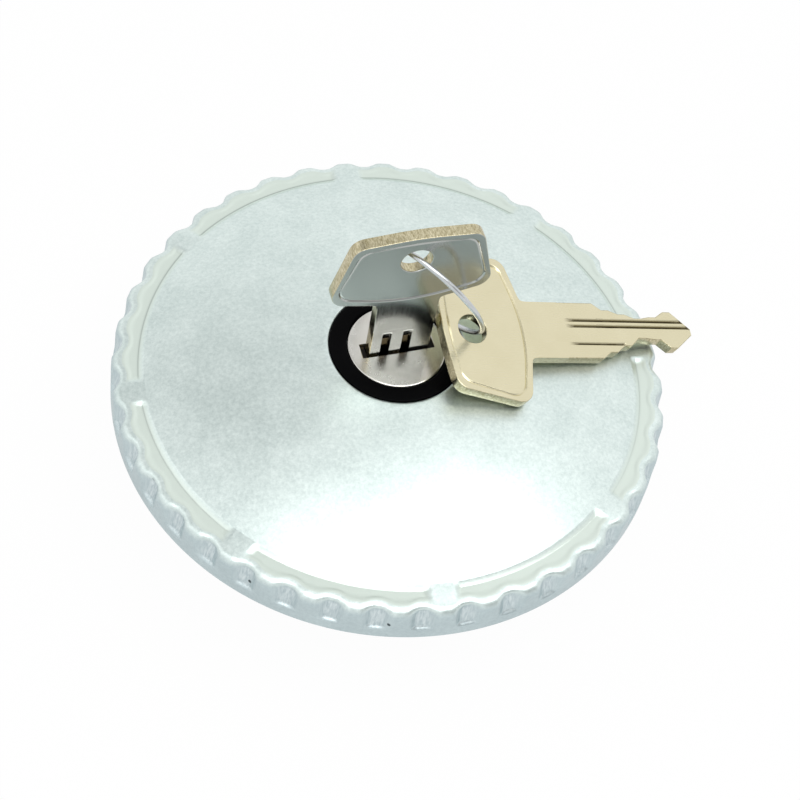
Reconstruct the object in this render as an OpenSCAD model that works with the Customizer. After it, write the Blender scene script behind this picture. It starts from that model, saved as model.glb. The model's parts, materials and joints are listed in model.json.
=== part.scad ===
// Lockable fuel deck fill cap: a domed steel cover with a fluted skirt over a lock cup, and its two keys.
// Sizes are in millimetres. The origin lies on the cap's axis in the sealing plane, where the filler
// neck's rim meets the gasket. +Z points out of the tank and the keyway lies along X.

/* [Cover] */
// Outside diameter of the skirt
cover_d = 90; // [86:0.5:100]
// Thickness of the pressed cover sheet
sheet_t = 0.8; // [0.6:0.05:1]
// How far the skirt's edge hangs below the sealing plane
skirt_drop = 2.1; // [0.8:0.1:3]
// Height of the sunken rim band above the sealing plane
rim_h = 4.5; // [4:0.1:6]
// Width of the sunken rim band, from the plateau's edge to the skirt
band_w = 5.1; // [4.5:0.1:6]
// Drop from the plateau's edge to the rim band
step_h = 0.5; // [0.4:0.05:1]
// Radial run of that step
step_run = 1; // [0.6:0.1:1.4]
// Rise of the domed plateau from its edge to the axis
dome_rise = 6.8; // [5:0.1:8]
// Radius of the fold between the rim band and the skirt
fold_r = 2; // [1.6:0.1:2.4]
// Number of grip flutes round the skirt
flute_n = 40; // [30:1:48]
// Depth of a flute at the rim
flute_depth = 1.7; // [1.2:0.05:1.8]
// Depth of a flute at its lower end, where it stops in a small ledge
flute_foot = 0.55; // [0.3:0.05:0.7]
// Radius of a flute's hollow
flute_r = 2.1; // [1.6:0.1:2.4]
// Height of the plain band under the flutes
plain_h = 2.2; // [1.6:0.1:2.8]
// Number of raised bridges across the rim band
bridge_n = 8; // [4:1:12]
// Width of a bridge
bridge_w = 4.75; // [3:0.25:8]
// Height of a bridge over the rim band at the skirt
bridge_h = 0.4; // [0.3:0.05:0.6]
// Angle of the first bridge from the keyway
bridge_turn = 40; // [0:1:90]
// Depth of the turned-down lip round the lock's hole
lip_h = 2; // [1.6:0.1:2.2]

/* [Lock cup] */
// Height of the cup's floor below the sealing plane
cup_depth = 22; // [21:0.5:28]
// Thickness of the cup's sheet
cup_t = 0.9; // [0.7:0.05:1.1]
// Outside radius of the cup's lower corner
cup_corner = 2.2; // [1.5:0.1:3]
// Width of the cup's welded flange
flange_w = 4.5; // [3:0.25:5]
// Radial reach of the bayonet ears past the cup
ear_reach = 6; // [4:0.25:6.5]
// Angle that each bayonet ear spans
ear_span = 56; // [30:1:80]
// Thickness of the bayonet ring's sheet
ear_t = 1.2; // [0.8:0.1:1.6]
// Height of the bayonet ring's band
ear_band_h = 5; // [3:0.25:5.5]
// Depth of the ears' underside below the sealing plane
ear_depth = 7.6; // [7:0.1:8]

/* [Seal] */
// Width of the gasket
gasket_w = 5.5; // [4:0.25:7]
// Thickness of the gasket
gasket_t = 2; // [1.5:0.1:2.2]
// Radial gap between the gasket and the plateau's edge
gasket_inset = 0.9; // [0.8:0.1:1.5]
// Thickness of the pressure plate
plate_t = 0.7; // [0.5:0.05:0.9]
// Sheet thickness of the wave spring
wave_t = 0.4; // [0.25:0.05:0.5]
// Number of waves in the spring
wave_n = 6; // [3:1:9]
// Wire diameter of the plate's snap ring
snap_d = 1.2; // [0.8:0.1:1.4]

/* [Lock] */
// Diameter of the plug's polished face
face_d = 15.9; // [15:0.1:17]
// Depth of the plug's face below the bezel
face_sink = 0.15; // [0.05:0.05:0.3]
// Thickness of the face's sheet
face_t = 0.6; // [0.4:0.05:0.7]
// Height of the face's turned-down rim
face_h = 1.55; // [1.3:0.05:1.7]
// Height of the plug's head under that rim
head_h = 1.5; // [1.2:0.1:1.8]
// Outside diameter of the black bezel ring
bezel_d = 21.6; // [20.5:0.1:23]
// Diameter of the plug in its barrel
plug_d = 13.2; // [12.6:0.1:13.8]
// Outside diameter of the barrel
barrel_d = 19.2; // [17.5:0.1:20]
// Thickness of the body's flange under the cover
body_flange_t = 1.4; // [1:0.1:1.8]
// Reach of that flange past the bezel
body_flange_w = 2.8; // [2.2:0.1:3.2]
// Outside diameter of the housing at the barrel's foot
housing_d = 33; // [32:0.5:35]
// Number of wafers in the plug
wafer_n = 6; // [3:1:6]
// Distance between wafers
wafer_pitch = 2.5; // [2.2:0.05:2.6]
// Thickness of a wafer
wafer_t = 1; // [0.6:0.1:1.2]
// Diameter of the scroll cam
cam_d = 24.4; // [23.5:0.1:25]
// Thickness of the scroll cam
cam_t = 2; // [1.5:0.1:2.4]
// Gap between the bolts and the scroll cam
cam_lift = 0.7; // [0.5:0.1:1]
// Travel of each bolt over a quarter turn of the plug
bolt_travel = 3; // [2:0.1:3.2]
// Width of a bolt
bolt_w = 8; // [6:0.25:10]
// Thickness of a bolt
bolt_t = 3; // [2:0.1:3.2]
// Diameter of a bolt's drive pin
pin_d = 2; // [1.6:0.1:2.4]
// How far a locked bolt stands out of the cup
bolt_reach = 4.8; // [4:0.1:5.5]
// Diameter of a rivet's shank
rivet_d = 2.5; // [2:0.1:2.8]

/* [Keys] */
// Thickness of a key
key_t = 2; // [1.6:0.1:2.1]
// Width of the bow next to the blade
bow_w = 26.4; // [23:0.2:29]
// Width of the bow's outer end
bow_end_w = 20; // [17:0.2:22]
// Length of the bow along the key
bow_len = 16.5; // [15:0.1:18]
// Corner radius of the bow
bow_corner = 2.4; // [1.5:0.1:3]
// Width of the coined border round the bow
bow_border = 1.1; // [0.8:0.1:1.6]
// Diameter of the hole in the bow
bow_hole_d = 5; // [4.6:0.1:5.6]
// Distance from the blade's root to that hole
bow_hole_y = 11; // [10.2:0.1:11.6]
// Width of the blade
blade_w = 10; // [8.8:0.1:10.2]
// Length of the blade from the bow to its tip
blade_len = 30.8; // [30:0.1:32]
// Length of the blade that stands out of the lock
blade_out = 11.7; // [11:0.1:13]
// Uncut length of the blade next to the bow
neck_len = 12.4; // [11:0.1:13.5]
// Half width left at each cut on one edge, from the bow to the tip
cuts_a = [3.8, 3.1, 2.4, 2.7, 3.7];
// Half width left at each cut on the other edge
cuts_b = [3.9, 2.7, 1.3, 1.5, 3.0];

/* [Key ring] */
// Wire diameter of the key ring
ring_wire_d = 0.9; // [0.7:0.05:1.1]
// How much wider the ring's mean circle is than the distance between the two key holes
ring_slack = 2; // [1.6:0.1:3.4]
// Turn of the ring about the line between the two key holes
ring_turn = 46; // [35:1:55]
// Distance of the spare key's hole from the cap's axis, along the keyway
spare_x = 10.8; // [10:0.1:12]
// Distance of the spare key's hole in front of the keyway
spare_y = 2.5; // [1:0.1:5]
// Height of the spare key's hole above the bezel
spare_lift = 4.4; // [4:0.1:6]
// Sideways tilt of the spare key
spare_tilt = 12; // [5:0.5:16]

/* [Clearances] */
// Gap between sheets that are welded or pressed together
seat_gap = 0.05; // [0.03:0.01:0.1]
// Radial running clearance of the plug, face and pins
run_gap = 0.05; // [0.03:0.01:0.1]
// Sliding clearance of bolts, wafers and blade
slide_gap = 0.1; // [0.08:0.01:0.15]
// Room round the bolts and the cam
bolt_room = 0.4; // [0.3:0.05:0.5]
// Gap between the spare key and the cover
spare_gap = 0.35; // [0.3:0.05:0.8]

/* [Hidden] */
$fn = 96;

// Cover levels and the dome's sphere
skirt_z = -skirt_drop;
edge_z = rim_h + step_h;
cover_r = cover_d / 2;
plateau_r = cover_r - band_w;
dome_r = (plateau_r * plateau_r + dome_rise * dome_rise) / (2 * dome_rise);
apex_z = edge_z + dome_rise;
plain_z = skirt_z + plain_h;
flute_lean = atan((flute_depth - flute_foot) / (rim_h - plain_z));
bezel_r = bezel_d / 2;
hole_r = bezel_r + seat_gap;
lip_z = dome_z(hole_r) - lip_h;

// Seal, ears and cup, each set inside the one before
gasket_ro = plateau_r - gasket_inset;
gasket_ri = gasket_ro - gasket_w;
ear_r = gasket_ri - 0.5;
cup_r = ear_r - ear_reach;
flange_r = cup_r + flange_w;
plate_ri = cup_r + 0.4;
plate_z = gasket_t;
snap_z = plate_z - snap_d / 2 - seat_gap;
snap_r = cup_r + 0.35;
wave_ri = flange_r + 1.5;
wave_ro = gasket_ro - 1.2;
wave_lo = plate_z + plate_t + seat_gap;
wave_hi = dome_z(wave_ro) - sheet_t - 2 * seat_gap;

// Lock stack, from the face down to the cup's floor
floor_z = -cup_depth;
floor_top = floor_z + cup_t;
bezel_z = dome_z(bezel_r);
face_z = bezel_z - face_sink;
body_top = face_z - face_h;
head_d = face_d - 1;
head_z = body_top - head_h;
bore_r = plug_d / 2 + run_gap;
bolt_z = floor_top + 2 * slide_gap;
cam_z = bolt_z + bolt_t + cam_lift;
cam_top = cam_z + cam_t;
barrel_z = cam_top + 2 * slide_gap;
cavity_r = cam_d / 2 + bolt_room;
tail_w = 5.6;
screw_r = 1.65;
rivet_pcr = (cavity_r + housing_d / 2) / 2;
rivet_head = 0.36 * rivet_d;
rivet_in = 1.4 * rivet_d;
flange_hi = lip_z - 2 * slide_gap;
flange_lo = flange_hi - body_flange_t;
body_flange_r = bezel_r + body_flange_w;

// Scroll and bolts
pin_out = cam_d / 2 - pin_d / 2 - 1.6;
scroll_rate = bolt_travel / 90;
bolt_tail = pin_out - 1.8;
riser_x = housing_d / 2 + bolt_travel + bolt_room;
riser_w = cup_r - cup_t - bolt_room - riser_x;
bolt_tip = cup_r + bolt_reach;
tongue_top = -ear_depth - 0.9;
tongue_lo = tongue_top - bolt_t;

// Keyway, wafers and key
slot_w = blade_w + 2 * slide_gap;
slot_t = key_t + 2 * slide_gap;
key_tip_z = face_z - (blade_len - blade_out);
slot_z = key_tip_z - 0.4;
wafer_w = key_t + 3;
wafer_win = 2 * max(max(cuts_a), max(cuts_b)) + 4 * slide_gap;
wafer_z0 = slot_z + wafer_t / 2 + 0.4;
root_z = face_z + blade_out;
key_hole = [0, 0, root_z + bow_hole_y];
cut_n = len(cuts_a);
cut_pitch = (blade_len - neck_len - 3.2) / cut_n;
bow_sag = 3.1;

// Spare key, which rests on the rim with its bow held up by the ring
spare_hole = [spare_x, -spare_y, bezel_z + spare_lift];
rest_run = cover_r - fold_r - spare_x;
rest_drop = spare_hole[2] - rim_h - bridge_h;
rest_half = key_t / 2 + cuts_b[1] * sin(spare_tilt) + spare_gap;
spare_pitch = acos(rest_half / norm([rest_run, rest_drop])) - atan2(rest_run, rest_drop);
span_v = spare_hole - key_hole;
span = norm(span_v);
span_u = span_v / span;
ring_r = (span + ring_slack) / 2;
ring_e1 = cross(span_u, [0, 0, 1]) / norm(cross(span_u, [0, 0, 1]));
ring_e2 = cross(span_u, ring_e1);
ring_n = cos(ring_turn) * ring_e1 + sin(ring_turn) * ring_e2;
ring_a = cross(span_u, ring_n);
ring_c = (key_hole + spare_hole) / 2 + sqrt(ring_r * ring_r - span * span / 4) * ring_a;

// Height of the dome's outer face at radius r
function dome_z(r) = apex_z - dome_r + sqrt(dome_r * dome_r - r * r);

// Points of an arc about c from angle a0 to a1 in n steps
function arc(c, r, a0, a1, n) = [for (i = [0:n]) c + r * [cos(a0 + (a1 - a0) * i / n), sin(a0 + (a1 - a0) * i / n)]];

// Outline with each corner [x, y, r] rounded by its radius
function xy(p) = [p[0], p[1]];
function unit(v) = v / norm(v);
function fillet(p, q, s, r, n) =
    let (
        u = unit(p - q),
        v = unit(s - q),
        half = acos(u * v) / 2,
        c = q + unit(u + v) * r / sin(half),
        a = c + r * unit(q + u * r / tan(half) - c) - c,
        b = c + r * unit(q + v * r / tan(half) - c) - c,
        a0 = atan2(a[1], a[0]),
        turn = atan2(b[1], b[0]) - a0,
        a1 = a0 + (turn > 180 ? turn - 360 : turn < -180 ? turn + 360 : turn)
    )
    arc(c, r, a0, a1, n);
function rounded(pts, n = 6) = [
    for (i = [0:len(pts) - 1])
        let (p = pts[(i + len(pts) - 1) % len(pts)], q = pts[i], s = pts[(i + 1) % len(pts)])
        each fillet(xy(p), xy(q), xy(s), q[2], n)
];

// Section of the cover's form, set in by o, with the rim band sunk or at the plateau's level
function cover_section(o, sunk) =
    let (
        top = rim_h + (sunk ? 0 : bridge_h),
        low = skirt_z - 2 * sign(o),
        in_r = plateau_r - (sunk ? 0.35 * o : 0)
    )
    concat(
        [[0, low], [cover_r - o, low]],
        arc([cover_r - fold_r, top - fold_r], fold_r - o, 0, 90, 4),
        sunk ? [[plateau_r + step_run - 0.35 * o, rim_h - o]] : [],
        [for (i = [0:12]) [in_r * (1 - i / 12), dome_z(in_r * (1 - i / 12)) - o]]
    );

// Solid form of the cover, set in by o: outside at 0 and inside at the sheet's thickness
module cover_form(o) {
    difference() {
        union() {
            rotate_extrude() polygon(cover_section(o, true));
            intersection() {
                rotate_extrude() polygon(cover_section(o, false));
                for (i = [0:bridge_n - 1])
                    rotate(bridge_turn + i * 360 / bridge_n)
                        translate([plateau_r - 3, o - bridge_w / 2, skirt_z - 3])
                            cube([band_w + 6, bridge_w - 2 * o, apex_z + 6]);
            }
        }
        for (i = [0:flute_n - 1])
            rotate(bridge_turn + (i + 0.5) * 360 / flute_n)
                translate([cover_r - flute_foot + flute_r, 0, plain_z - o])
                    rotate([0, -flute_lean, 0])
                        cylinder(r = flute_r + o, h = 2 * apex_z, $fn = 48);
    }
}

// Pressed steel cover with a turned-down lip round the lock's hole
module outer_cover() {
    color("#CBD5D6") {
        difference() {
            cover_form(0);
            cover_form(sheet_t);
            translate([0, 0, skirt_z]) cylinder(r = hole_r, h = apex_z + 10);
        }
        difference() {
            translate([0, 0, lip_z]) cylinder(r = hole_r + sheet_t, h = dome_z(hole_r + sheet_t) - lip_z - sheet_t / 2);
            translate([0, 0, lip_z - 1]) cylinder(r = hole_r, h = 10);
        }
    }
}

// Pressed cup that carries the lock, its flange welded under the dome
function cup_top(r) = dome_z(r) - sheet_t - seat_gap;
module inner_cup() {
    corner = [cup_r - cup_corner, floor_z + cup_corner];
    wall_ri = cup_r - cup_t;
    color("#B8C2C4")
    difference() {
        rotate_extrude()
            polygon(concat(
                [[0, floor_z]],
                arc(corner, cup_corner, -90, 0, 6),
                [[cup_r, cup_top(cup_r) - cup_t], [flange_r, cup_top(flange_r) - cup_t]],
                [for (i = [0:4]) let (r = flange_r + (wall_ri - flange_r) * i / 4) [r, cup_top(r)]],
                arc(corner, cup_corner - cup_t, 0, -90, 6),
                [[0, floor_top]]
            ));
        for (a = [0, 180])
            rotate(a)
                translate([wall_ri - 2, -bolt_w / 2 - bolt_room, tongue_lo - bolt_room])
                    cube([cup_t + 4, bolt_w + 2 * bolt_room, bolt_t + 2 * bolt_room]);
        rivet_places() translate([0, 0, floor_z - 1]) cylinder(d = rivet_d + 2 * seat_gap, h = cup_t + 2);
        vent_place() {
            translate([0, 0, floor_z - 1]) cylinder(r = 1.05, h = cup_t + 2);
            for (x = [-1.8, 1.8])
                translate([x, 0, floor_z - 1]) cylinder(r = 0.5, h = cup_t + 2);
        }
        rotate_extrude() translate([snap_r, snap_z]) circle(d = snap_d + 2 * seat_gap, $fn = 24);
    }
}

// Ring welded round the cup, with two bayonet ears and a stop at one end of each
module bayonet_ring() {
    band_ri = cup_r + seat_gap;
    band_mid = band_ri + ear_t / 2;
    color("#AEB6B8") {
        rotate_extrude() translate([band_ri, -ear_depth]) square([ear_t, ear_band_h]);
        for (a = [90, 270])
            rotate(a - ear_span / 2) {
                rotate_extrude(angle = ear_span)
                    translate([band_mid, -ear_depth]) square([ear_r - band_mid, ear_t]);
                rotate_extrude(angle = 5)
                    translate([ear_r - ear_t - 1, -ear_depth - 2]) square([ear_t, 2 + ear_t / 2]);
            }
    }
}

// Sprung plate with a lip that centres the gasket
module pressure_plate() {
    lip = gasket_ro + seat_gap;
    color("#C3CACB")
    rotate_extrude()
        polygon([
            [plate_ri, plate_z], [lip, plate_z], [lip, plate_z - gasket_t / 2], [lip + plate_t, plate_z - gasket_t / 2],
            [lip + plate_t, plate_z + plate_t - 0.4], [lip + plate_t - 0.4, plate_z + plate_t], [plate_ri, plate_z + plate_t]
        ]);
}

// Flat rubber gasket that meets the filler neck
module gasket() {
    soft = 0.3;
    color("#1C1C1E")
    rotate_extrude()
        polygon([
            [gasket_ri + soft, 0], [gasket_ro - soft, 0], [gasket_ro, soft], [gasket_ro, gasket_t],
            [gasket_ri, gasket_t], [gasket_ri, soft]
        ]);
}

// Wavy strip closed into a ring between the plate and the cover
module wave_spring() {
    steps = wave_n * 14;
    amp = (wave_hi - wave_lo - wave_t) / 2;
    mid = (wave_hi + wave_lo) / 2;
    function section(a) =
        let (z = mid + amp * sin(wave_n * a), lo = z - wave_t / 2, hi = z + wave_t / 2)
        [[wave_ri, lo], [wave_ro, lo], [wave_ro, hi], [wave_ri, hi]];
    pts = [for (i = [0:steps - 1]) let (a = 360 * i / steps) each [for (p = section(a)) [p[0] * cos(a), p[0] * sin(a), p[1]]]];
    quads = [
        for (i = [0:steps - 1], k = [0:3])
            [4 * i + k, 4 * i + (k + 1) % 4, 4 * ((i + 1) % steps) + (k + 1) % 4, 4 * ((i + 1) % steps) + k]
    ];
    tris = [for (q = quads) each [[q[2], q[1], q[0]], [q[3], q[2], q[0]]]];
    color("#8F979C") polyhedron(pts, tris);
}

// Open wire ring in a groove of the cup, on which the pressure plate rests
module plate_snap_ring() {
    color("#7F878C")
    rotate(120)
        rotate_extrude(angle = 346)
            translate([snap_r, snap_z]) circle(d = snap_d, $fn = 24);
}

// Black moulded ring between the cover and the plug's face
module lock_bezel() {
    ri = face_d / 2 + 2 * run_gap;
    ease = 0.25;
    color("#0E0E10")
    rotate_extrude()
        polygon([
            [ri, body_top], [bezel_r, body_top], [bezel_r, bezel_z - ease], [bezel_r - ease, bezel_z],
            [ri + ease, bezel_z], [ri, bezel_z - ease]
        ]);
}

// Rubber washer between the lock's flange and the cover
module lock_seal() {
    color("#232326")
    rotate_extrude()
        translate([hole_r + sheet_t + 0.25, flange_hi])
            square([body_flange_r - hole_r - sheet_t - 0.35, dome_z(body_flange_r) - sheet_t - seat_gap - flange_hi]);
}

// Places of the rivets and of the vent in the cup's floor
module rivet_places() {
    for (a = [45:90:315]) rotate(a) translate([rivet_pcr, 0, 0]) children();
}
module vent_place() {
    translate([0, (housing_d / 2 + cup_r - cup_corner) / 2, 0]) children();
}

// Die-cast lock body: barrel, flange under the cover and housing for the cam and bolts
module lock_body() {
    housing_r = housing_d / 2;
    barrel_r = barrel_d / 2;
    color("#9DA3A6")
    difference() {
        rotate_extrude()
            polygon([
                [0, floor_top], [housing_r, floor_top], [housing_r, barrel_z + 0.8], [housing_r - 1.2, barrel_z + 2],
                [barrel_r, barrel_z + 3.6], [barrel_r, flange_lo - 1], [barrel_r + 1, flange_lo],
                [body_flange_r, flange_lo], [body_flange_r, flange_hi], [bezel_r - 0.2, flange_hi],
                [bezel_r - 0.2, body_top], [0, body_top]
            ]);
        translate([0, 0, floor_top - 1]) cylinder(r = bore_r, h = body_top - floor_top + 2);
        translate([0, 0, head_z]) cylinder(r = head_d / 2 + 2 * run_gap, h = 4);
        translate([0, 0, floor_top - 1]) cylinder(r = cavity_r, h = barrel_z - floor_top + 1);
        translate([-housing_r - 1, -bolt_w / 2 - slide_gap, floor_top - 1])
            cube([housing_d + 2, bolt_w + 2 * slide_gap, bolt_t + 4 * slide_gap + 1]);
        rivet_places()
            translate([0, 0, floor_top - 1]) cylinder(d = rivet_d + 2 * seat_gap, h = rivet_in + 1 + bolt_room);
    }
}

// Rivets that hold the lock body on the cup's floor
module body_rivets() {
    under = floor_z - seat_gap;
    tip = floor_top + rivet_in;
    color("#A9AFB2")
    rivet_places()
        rotate_extrude()
            polygon([
                [0, under - rivet_head], [rivet_d * 0.6, under - rivet_head], [rivet_d * 0.9, under - rivet_head / 2],
                [rivet_d * 0.9, under], [rivet_d / 2, under], [rivet_d / 2, tip], [0, tip]
            ]);
}

// Rubber umbrella valve that lets air into the tank
module vent_valve() {
    under = floor_z - seat_gap;
    color("#2A2A2C")
    vent_place()
        rotate_extrude()
            polygon([
                [0, under - 0.7], [1, under - 0.7], [2.6, under - 0.35], [2.6, under], [0.95, under],
                [0.95, floor_top + seat_gap], [1.5, floor_top + seat_gap], [1.1, floor_top + 1.4], [0, floor_top + 1.6]
            ]);
}

// Repeats its children at each wafer, turned about so that neighbours spring opposite ways
module wafer_places() {
    for (i = [0:wafer_n - 1])
        translate([0, 0, wafer_z0 + i * wafer_pitch]) rotate(180 * (i % 2)) children();
}
lug_w = 1.2 * wafer_t;
lug_x = 1.6 * wafer_t;
pocket_x = 2.4 * wafer_t;

// Turned brass plug with its keyway, wafer slots and square tail
module lock_plug() {
    color("#B79F62")
    difference() {
        union() {
            translate([0, 0, head_z + slide_gap]) cylinder(d = head_d, h = face_z - face_t - seat_gap - head_z - slide_gap);
            translate([0, 0, barrel_z]) cylinder(d = plug_d, h = head_z - barrel_z + 1);
            translate([-tail_w / 2, -tail_w / 2, cam_z]) cube([tail_w, tail_w, barrel_z - cam_z + 1]);
        }
        translate([-slot_w / 2, -slot_t / 2, slot_z]) cube([slot_w, slot_t, face_z - slot_z + 5]);
        wafer_places() {
            translate([-plug_d, -wafer_w / 2 - slide_gap / 2, -wafer_t / 2 - slide_gap / 2])
                cube([2 * plug_d, wafer_w + slide_gap, wafer_t + slide_gap]);
            translate([-pocket_x, 0, -wafer_t / 2 - slide_gap / 2])
                cube([2 * pocket_x, wafer_w / 2 + lug_w + slide_gap, wafer_t + slide_gap]);
        }
        translate([0, 0, cam_z - 1]) cylinder(r = screw_r + seat_gap, h = slot_z - cam_z + 0.4);
    }
}

// Polished steel cap on the plug's head, slotted for the key
module plug_face() {
    slot_ease = 0.8;
    color("#D7DADA")
    difference() {
        rotate_extrude()
            polygon([
                [0, face_z - face_t], [head_d / 2 + seat_gap, face_z - face_t], [head_d / 2 + seat_gap, body_top + seat_gap],
                [face_d / 2, body_top + seat_gap], [face_d / 2, face_z - 0.3], [face_d / 2 - 0.3, face_z], [0, face_z]
            ]);
        translate([-slot_w / 2 - slot_ease, -slot_t / 2 - slot_ease / 3, face_z - 3])
            cube([slot_w + 2 * slot_ease, slot_t + 2 * slot_ease / 3, 6]);
    }
}

// Brass wafers, drawn in as they stand with the key home
module wafers() {
    color("#C2A558")
    wafer_places()
        difference() {
            union() {
                intersection() {
                    cylinder(d = plug_d - 2 * slide_gap, h = wafer_t, center = true);
                    cube([plug_d, wafer_w, wafer_t], center = true);
                }
                translate([-lug_x, 0, -wafer_t / 2]) cube([lug_w, wafer_w / 2 + lug_w, wafer_t]);
            }
            cube([wafer_win, slot_t + 2 * slide_gap, 2 * wafer_t], center = true);
        }
}

// One small coil spring beside each wafer's lug
module wafer_springs() {
    spring_r = 0.45 * wafer_t;
    wire_d = spring_r / 3;
    from = lug_w - lug_x + seat_gap;
    color("#8C9296")
    wafer_places()
        translate([from, wafer_w / 2 + slide_gap + spring_r, 0])
            rotate([0, 90, 0])
                difference() {
                    cylinder(r = spring_r, h = pocket_x - from - seat_gap, $fn = 24);
                    translate([0, 0, -1]) cylinder(r = spring_r - wire_d, h = 2 * pocket_x + 2, $fn = 24);
                }
}

// Disc with two spiral slots that draw the bolts in as the plug turns
module scroll_cam() {
    half = pin_d / 2 + 2 * run_gap;
    past = 11;
    function slot_r(a) = pin_out + scroll_rate * a;
    steps = [-90 - past:4:past];
    function edge(s) = [for (a = steps) (slot_r(a) + s * half) * [cos(a), sin(a)]];
    inner = edge(-1);
    color("#8B9195")
    translate([0, 0, cam_z])
        difference() {
            cylinder(d = cam_d, h = cam_t);
            translate([0, 0, -1]) {
                for (a = [0, 180])
                    rotate(a)
                        linear_extrude(cam_t + 2)
                            polygon(concat(edge(1), [for (i = [len(inner) - 1:-1:0]) inner[i]]));
                translate([-tail_w / 2 - seat_gap, -tail_w / 2 - seat_gap, 0])
                    cube([tail_w + 2 * seat_gap, tail_w + 2 * seat_gap, cam_t + 2]);
            }
        }
}

// Pan-head screw that holds the cam on the plug's tail
module cam_screw() {
    head_top = cam_z - seat_gap;
    pan_h = 0.9 * screw_r;
    pan_r = 2 * screw_r;
    cross_w = 0.6;
    color("#9AA0A4")
    difference() {
        rotate_extrude()
            polygon([
                [0, head_top - pan_h], [0.72 * pan_r, head_top - pan_h], [pan_r, head_top - pan_h / 2], [pan_r, head_top],
                [screw_r, head_top], [screw_r, slot_z - 1.2], [0, slot_z - 1.2]
            ]);
        for (a = [0, 90])
            rotate(a) translate([-pan_r / 2, -cross_w / 2, head_top - pan_h - 1]) cube([pan_r, cross_w, 1 + pan_h / 2]);
    }
}

// Stepped bolt: a tail under the cam with its pin, a riser, and a tongue through the cup's wall
module bolt() {
    color("#A4AAAD")
    intersection() {
        union() {
            translate([bolt_tail, -bolt_w / 2, bolt_z]) cube([riser_x + riser_w - bolt_tail, bolt_w, bolt_t]);
            translate([riser_x, -bolt_w / 2, bolt_z]) cube([riser_w, bolt_w, tongue_top - bolt_z]);
            translate([riser_x, -bolt_w / 2, tongue_lo]) cube([bolt_tip - riser_x, bolt_w, bolt_t]);
            translate([pin_out, 0, bolt_z + bolt_t / 2])
                cylinder(d = pin_d, h = cam_top - slide_gap - bolt_z - bolt_t / 2, $fn = 48);
        }
        union() {
            translate([0, 0, floor_z]) cylinder(r = cup_r - cup_corner, h = cup_depth);
            translate([0, 0, floor_z + cup_corner]) cylinder(r = bolt_tip, h = cup_depth);
        }
    }
}
module bolt_right() { bolt(); }
module bolt_left() { rotate(180) bolt(); }

// Bow outline set in by i: a tapered plate, full on the blade's side and slightly crowned at the end
function bow_points(i) = [
    [0, i, 28], [bow_w / 2 - i, bow_sag + i, bow_corner], [bow_end_w / 2 - i, bow_len - 0.8 - i, bow_corner],
    [0, bow_len - i, 45], [i - bow_end_w / 2, bow_len - 0.8 - i, bow_corner], [i - bow_w / 2, bow_sag + i, bow_corner]
];

// Edge of the blade from the bow to the tip, on the side s, with a flat at each cut
function blade_edge(cuts, s) = concat(
    [[s * blade_w / 2, bow_sag], [s * blade_w / 2, -neck_len]],
    [
        for (i = [0:cut_n - 1])
            let (y = -neck_len - cut_pitch * (i + 0.75))
            each [[s * cuts[i], y + cut_pitch * 0.22], [s * cuts[i], y - cut_pitch * 0.22]]
    ],
    [[s * 0.6, -blade_len]]
);

// Key blank cut from sheet: y runs from the tip to the bow, with y = 0 at the blade's root
module key_form() {
    coin = 0.2;
    groove = 0.45;
    edge_b = blade_edge(cuts_b, -1);
    color("#CFC49C")
    difference() {
        union() {
            linear_extrude(key_t, center = true) polygon(rounded(bow_points(0)));
            linear_extrude(key_t, center = true)
                polygon(concat(blade_edge(cuts_a, 1), [for (i = [len(edge_b) - 1:-1:0]) edge_b[i]]));
        }
        for (a = [0, 180])
            rotate([0, a, 0]) {
                translate([0, 0, key_t / 2 - coin]) linear_extrude(1) polygon(rounded(bow_points(bow_border)));
                translate([0.8, -blade_len - 1, key_t / 2 - groove]) cube([1.2, blade_len - 5.2, 1]);
                translate([-2.4, -neck_len - 7, key_t / 2 - groove]) cube([0.8, neck_len, 1]);
            }
        translate([0, bow_hole_y, 0]) cylinder(d = bow_hole_d, h = key_t + 2, center = true, $fn = 48);
    }
}

// Key that stands in the lock
module lock_key() {
    translate([0, 0, root_z]) rotate([90, 0, 0]) key_form();
}

// Spare key, lying on the rim
module spare_key() {
    translate(spare_hole)
        rotate([0, spare_pitch, 0])
            rotate([spare_tilt, 0, 0])
                rotate(90)
                    translate([0, -bow_hole_y, 0]) key_form();
}

// Wire ring through both bows, its ends butted
module key_ring() {
    color("#D2D4D4")
    multmatrix([
        [ring_a[0], span_u[0], ring_n[0], ring_c[0]],
        [ring_a[1], span_u[1], ring_n[1], ring_c[1]],
        [ring_a[2], span_u[2], ring_n[2], ring_c[2]]
    ])
        rotate_extrude(angle = 358) translate([ring_r, 0]) circle(d = ring_wire_d, $fn = 24);
}

outer_cover();
inner_cup();
bayonet_ring();
pressure_plate();
gasket();
wave_spring();
plate_snap_ring();
lock_bezel();
lock_seal();
lock_body();
body_rivets();
vent_valve();
lock_plug();
plug_face();
wafers();
wafer_springs();
scroll_cam();
cam_screw();
bolt_right();
bolt_left();
lock_key();
key_ring();
spare_key();
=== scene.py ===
# Lockable fuel deck fill cap with its two keys, dressed in the order in which it is put together.
import json
import math

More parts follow.
